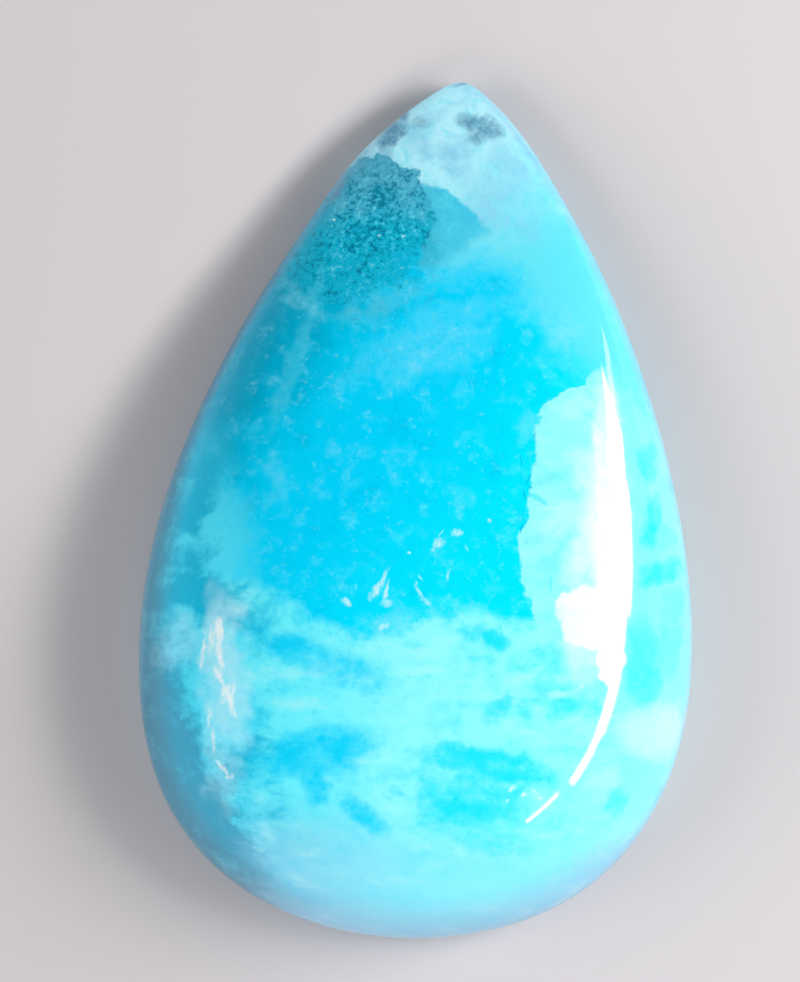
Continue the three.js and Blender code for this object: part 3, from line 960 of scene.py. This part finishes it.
class StoneSizes(bpy.types.PropertyGroup):
    """The sizes that the stone is cut to."""

    length: length_setting("Length", "From the round end to the tip", CAD_SIZE.y)
    width: length_setting("Width", "Across the girdle at its widest", CAD_SIZE.x)
    thickness: length_setting("Thickness", "From the back to the crown", CAD_SIZE.z)
    girdle_low: length_setting("Girdle Low", "Height where the bevel meets the girdle", 0.9 * MM)
    girdle_high: length_setting("Girdle High", "Height where the dome begins", 1.4 * MM)
    bevel_share: FloatProperty(
        name="Bevel", description="How far the bevel comes in, as a share of the way to the crown",
        default=0.055, subtype="FACTOR", min=0.0, max=0.3,
    )
    crown_y: length_setting("Crown", "The crown's place along the stone", -6.3 * MM)
    section_power: FloatProperty(
        name="Section Power", description="2 makes a section an ellipse, and more makes it fuller",
        default=2.2, min=1.5, max=4.0,
    )
    tip_power: FloatProperty(
        name="Tip Power", description="How fast the ridge falls to the tip", default=1.6, min=1.0, max=3.0,
    )
    dome_rings: IntProperty(
        name="Dome Rings", description="Rings of faces from the crown to the girdle", default=140,
        min=8, max=150,
    )
    swell_height: length_setting("Swell Height", "How uneven the hand polish is", 0.03 * MM, 5)
    swell_size: length_setting("Swell Size", "How wide the uneven places are", 5.0 * MM)
    pit_radius: length_setting("Pit Radius", "Half the width of a pit", 0.22 * MM, 5)
    pit_depth: length_setting("Pit Depth", "How deep a pit is", 0.04 * MM, 5)
    pit_density: FloatProperty(
        name="Pit Density", description="Small scattered pits in a square metre", default=6000.0, min=0.0,
    )
    seed: IntProperty(name="Seed", description="Fixes where the scattered pits are", default=4, min=0)


def calcite_colour(name, description, shown):
    """A colour setting whose default is a colour as a screen shows it."""
    return FloatVectorProperty(
        name=name, description=description, default=srgb(*shown), subtype="COLOR", size=3, min=0.0, max=1.0,
    )


class StoneColours(bpy.types.PropertyGroup):
    """The stone's colours."""

    deep: calcite_colour("Deep", "The body's left, towards the tip", (0, 168, 204))
    body: calcite_colour("Body", "The saturated middle of the stone", (0, 213, 254))
    bright: calcite_colour("Bright", "The body's right", (0, 229, 255))
    left_dark: calcite_colour("Left Shade", "The dark places of the left side", (26, 190, 226))
    # Painted reflection: the dull bluish tone low on the left side.
    left_low: calcite_colour("Left Low", "The dark places low on the left side", (66, 166, 198))
    left_cloud: calcite_colour("Left Cloud", "The clouds of the left side", (84, 230, 255))
    cloud_left: calcite_colour("Cloud Left", "The left of the milky end", (106, 243, 255))
    cloud: calcite_colour("Cloud", "The middle of the milky end", (140, 248, 250))
    cloud_low: calcite_colour("Cloud Low", "The milky end by its rim", (136, 238, 252))
    patch_left: calcite_colour("Patch Left", "What shows between the clouds on the left", (16, 213, 251))
    patch_right: calcite_colour("Patch Right", "What shows between the clouds on the right", (32, 228, 244))
    mint: calcite_colour("Mint", "The pale mint patch", (146, 246, 247))
    right: calcite_colour("Right Side", "The right side, beyond the window's gleam", (130, 238, 241))
    white: calcite_colour("White", "The whitest places", (245, 253, 253))
    white_cloud: calcite_colour("White Cloud", "The whitish clouds and flecks", (190, 244, 250))
    tip: calcite_colour("Tip", "The sky blue of the tip", (183, 242, 255))
    tip_low: calcite_colour("Tip Low", "Where the pale tip runs out down the right", (96, 226, 242))
    wedge: calcite_colour("Wedge", "The plain teal wedge below the tip", (68, 201, 232))
    lilac: calcite_colour("Lilac", "The faint clouds in the tip", (132, 206, 236))
    grain_top: calcite_colour("Grain Top", "The grainy patch towards the tip", (82, 176, 204))
    grain_low: calcite_colour("Grain Low", "The grainy patch towards the middle", (16, 182, 214))
    grain_dark: calcite_colour("Grain Dark", "The dark strokes of the grainy patch", (8, 118, 146))
    grain_light: calcite_colour("Grain Light", "The light strokes of the grainy patch", (115, 228, 246))
    veil: calcite_colour("Veil", "The thin veil on the left", (85, 212, 238))
    pale_spot: calcite_colour("Pale Spot", "The pale spots", (140, 232, 252))
    smudge: calcite_colour("Smudge", "The grey smudges by the tip", (100, 154, 186))
    crack: calcite_colour("Crack", "The hairline cracks", (0, 175, 210))
    # Painted shade of the left edge.
    rim_shade: calcite_colour("Rim Shade", "The darker tone of the left edge", (58, 116, 142))
    # Painted reflection of the thin edge.
    rim: calcite_colour("Rim", "The tone of the thin edge", (142, 192, 224))


class StageSettings(bpy.types.PropertyGroup):
    """The floor, the lights and the camera."""

    floor_colour: FloatVectorProperty(
        name="Floor", description="The plain pale floor", default=srgb(208, 203, 205),
        subtype="COLOR", size=3, min=0.0, max=1.0,
    )
    floor_size: FloatProperty(
        name="Floor Size", description="How wide the floor is", default=4.0, unit="LENGTH",
    )
    light_distance: FloatProperty(
        name="Window Distance", description="From the stone to the window", default=0.25, unit="LENGTH",
    )
    fill_distance: FloatProperty(
        name="Fill Distance", description="From the stone to the soft fills", default=2.0, unit="LENGTH",
    )
    window_light: FloatProperty(
        name="Window Light", description="How bright the window is", default=20.0, min=0.0,
    )
    fill_light: FloatProperty(
        name="Fill Light", description="How bright the soft fill is", default=1.4, min=0.0,
    )
    room_light: FloatProperty(
        name="Room Light", description="How bright the room's horizon is", default=0.4, min=0.0,
    )
    camera_lens: FloatProperty(
        name="Lens", description="The camera's focal length in millimetres", default=200.0,
    )


PHOTO_SIZE = (800, 982)  # pixels
PHOTO_SCALE = 22.53  # pixels a millimetre at the girdle
PHOTO_MIDDLE = (415.5, 510.5)  # the pixel that the middle of the outline's box falls on
CLIP_RATIO = 100  # how many times nearer and farther than the stone the camera still sees


def add_camera(lens, girdle_height):
    """A camera straight above the stone, framed as the photograph is."""
    data = bpy.data.cameras.new("camera")
    data.lens = lens
    camera = bpy.data.objects.new("camera", data)
    bpy.context.scene.collection.objects.link(camera)
    width, height = PHOTO_SIZE
    middle_x, middle_y = PHOTO_MIDDLE
    x = (width / 2 - middle_x) / PHOTO_SCALE * MM
    y = (middle_y - height / 2) / PHOTO_SCALE * MM
    seen_height = height / PHOTO_SCALE * MM
    distance = lens / data.sensor_width * seen_height
    camera.location = (x, y, girdle_height + distance)
    data.clip_start = distance / CLIP_RATIO
    data.clip_end = distance * CLIP_RATIO
    bpy.context.scene.camera = camera


# The window that gleams in the polish, as strips: where each one starts and ends, as an azimuth from +X
# and an angle from straight above, how wide it is, and its share of the light. Angles and widths are in
# degrees, as seen from the stone.
WINDOW_STRIPS = [
    ((29, 79), (26, 70), 2.5, 0.35),
    ((26, 70), (21, 63), 8.0, 1.0),
    ((22, 64.5), (14, 60.5), 11.0, 1.0),
    ((15, 60), (6, 55), 13.0, 1.0),
    ((7, 54), (-4, 50.5), 12.0, 1.0),
    ((-3, 52), (-10, 53), 7.0, 1.0),
    ((-9, 54), (-21, 51.5), 4.2, 1.0),
    ((-20, 51.4), (-37, 49.4), 2.8, 1.0),
    ((-42, 47.6), (-57, 47.4), 1.3, 1.0),
    ((28, 58), (2, 47), 7.0, 0.2),
    ((26, 50), (0, 39), 12.0, 0.09),
]

# Soft fills that don't show in the polish.
FILL_STRIPS = [
    ((150, 60), (-30, 10), 60.0, 0.2),
    ((160, 68), (215, 68), 45.0, 2.4),
    ((-125, 68), (-75, 68), 45.0, 1.5),
]


def direction_to(azimuth, polar):
    """The direction at an azimuth from +X and an angle from straight above, in degrees."""
    turn, tilt = math.radians(azimuth), math.radians(polar)
    return Vector((math.sin(tilt) * math.cos(turn), math.sin(tilt) * math.sin(turn), math.cos(tilt)))


def add_strip(name, start, end, width, distance, brightness, in_gloss=True):
    """A soft light between two directions, facing the stone. Its width is in degrees."""
    first, last = direction_to(*start), direction_to(*end)
    facing = (first + last).normalized()
    along = (last - first).normalized()
    across = facing.cross(along)
    data = bpy.data.lights.new(name, "AREA")
    data.shape = "RECTANGLE"
    data.size = (last - first).length * distance
    data.size_y = math.radians(width) * distance
    data.energy = brightness * math.pi * data.size * data.size_y
    light = bpy.data.objects.new(name, data)
    light.location = facing * distance
    light.rotation_euler = Matrix((along, across, facing)).transposed().to_euler()
    light.visible_camera = False
    light.visible_glossy = in_gloss
    bpy.context.scene.collection.objects.link(light)


def add_floor(size, colour):
    """A plain pale floor just under the stone."""
    mesh = bpy.data.meshes.new("floor")
    half = size / 2
    corners = [(-half, -half, 0.0), (half, -half, 0.0), (half, half, 0.0), (-half, half, 0.0)]
    mesh.from_pydata(corners, [], [(0, 1, 2, 3)])
    floor = bpy.data.objects.new("floor", mesh)
    material = bpy.data.materials.new("floor paper")
    material.use_nodes = True
    nodes = Nodes(material.node_tree)
    nodes.tree.nodes.clear()
    shader = nodes.add("ShaderNodeBsdfPrincipled", None, {"Base Color": tuple(colour), "Roughness": 0.7})
    nodes.add("ShaderNodeOutputMaterial", None, {"Surface": shader})
    mesh.materials.append(material)
    bpy.context.scene.collection.objects.link(floor)


def add_room(brightness):
    """A dim room, brighter along the horizon, so that the floor's reflection has a soft end."""
    room = bpy.data.worlds.new("room")
    room.use_nodes = True
    nodes = Nodes(room.node_tree)
    nodes.tree.nodes.clear()
    up = nodes.parts(nodes.add("ShaderNodeTexCoord", None, None, output="Generated"))[2]
    horizon_height, dimmest = 0.55, 0.02
    glow = nodes.smooth(up, horizon_height, 0.0) * brightness + brightness * dimmest
    light = nodes.add("ShaderNodeBackground", None, {"Color": (0.8, 0.85, 1.0), "Strength": glow})
    nodes.add("ShaderNodeOutputWorld", None, {"Surface": light})
    bpy.context.scene.world = room


class CALCITE_OT_cut_stone(bpy.types.Operator):
    """Cut the stone and give it its finish"""

    bl_idname = "calcite.cut_stone"
    bl_label = "Cut Stone"

    def execute(self, context):
        finish = CalciteMaterial(context.scene.stone_colours).build()
        stone = cut_stone(context.scene.stone_sizes, finish)
        if not stone.data.polygons:
            raise RuntimeError("the stone came out empty")
        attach(stone, "root")
        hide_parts("cabochon")
        return {"FINISHED"}


class CALCITE_OT_set_stage(bpy.types.Operator):
    """Set up the floor, the lights and the camera"""

    bl_idname = "calcite.set_stage"
    bl_label = "Set Stage"

    def execute(self, context):
        stage = context.scene.stage_settings
        add_floor(stage.floor_size, stage.floor_colour)
        add_camera(stage.camera_lens, context.scene.stone_sizes.girdle_high)
        distance = stage.light_distance
        for start, end, width, share in WINDOW_STRIPS:
            add_strip("window", start, end, width, distance, stage.window_light * share)
        for start, end, width, share in FILL_STRIPS:
            brightness = stage.fill_light * share
            add_strip("fill", start, end, width, stage.fill_distance, brightness, in_gloss=False)
        add_room(stage.room_light)
        context.scene.view_settings.view_transform = "Standard"
        return {"FINISHED"}


class CALCITE_PT_panel(bpy.types.Panel):
    """Lists the steps that build the stone"""

    bl_label = "Calcite Cabochon"
    bl_space_type = "VIEW_3D"
    bl_region_type = "UI"
    bl_category = "Calcite"

    def draw(self, context):
        for operator in (CALCITE_OT_cut_stone, CALCITE_OT_set_stage):
            self.layout.operator(operator.bl_idname)
        for group in ("stone_sizes", "stone_colours", "stage_settings"):
            settings = getattr(context.scene, group)
            for name in settings.bl_rna.properties.keys():
                if name not in ("rna_type", "name"):
                    self.layout.prop(settings, name)


CLASSES = (
    StoneSizes, StoneColours, StageSettings,
    CALCITE_OT_cut_stone, CALCITE_OT_set_stage, CALCITE_PT_panel,
)


def register():
    for cls in CLASSES:
        bpy.utils.register_class(cls)
    bpy.types.Scene.stone_sizes = PointerProperty(type=StoneSizes)
    bpy.types.Scene.stone_colours = PointerProperty(type=StoneColours)
    bpy.types.Scene.stage_settings = PointerProperty(type=StageSettings)


def unregister():
    del bpy.types.Scene.stage_settings
    del bpy.types.Scene.stone_colours
    del bpy.types.Scene.stone_sizes
    for cls in reversed(CLASSES):
        bpy.utils.unregister_class(cls)


def main():
    register()
    bpy.ops.calcite.set_stage()
    bpy.ops.calcite.cut_stone()


if __name__ == "__main__":
    main()
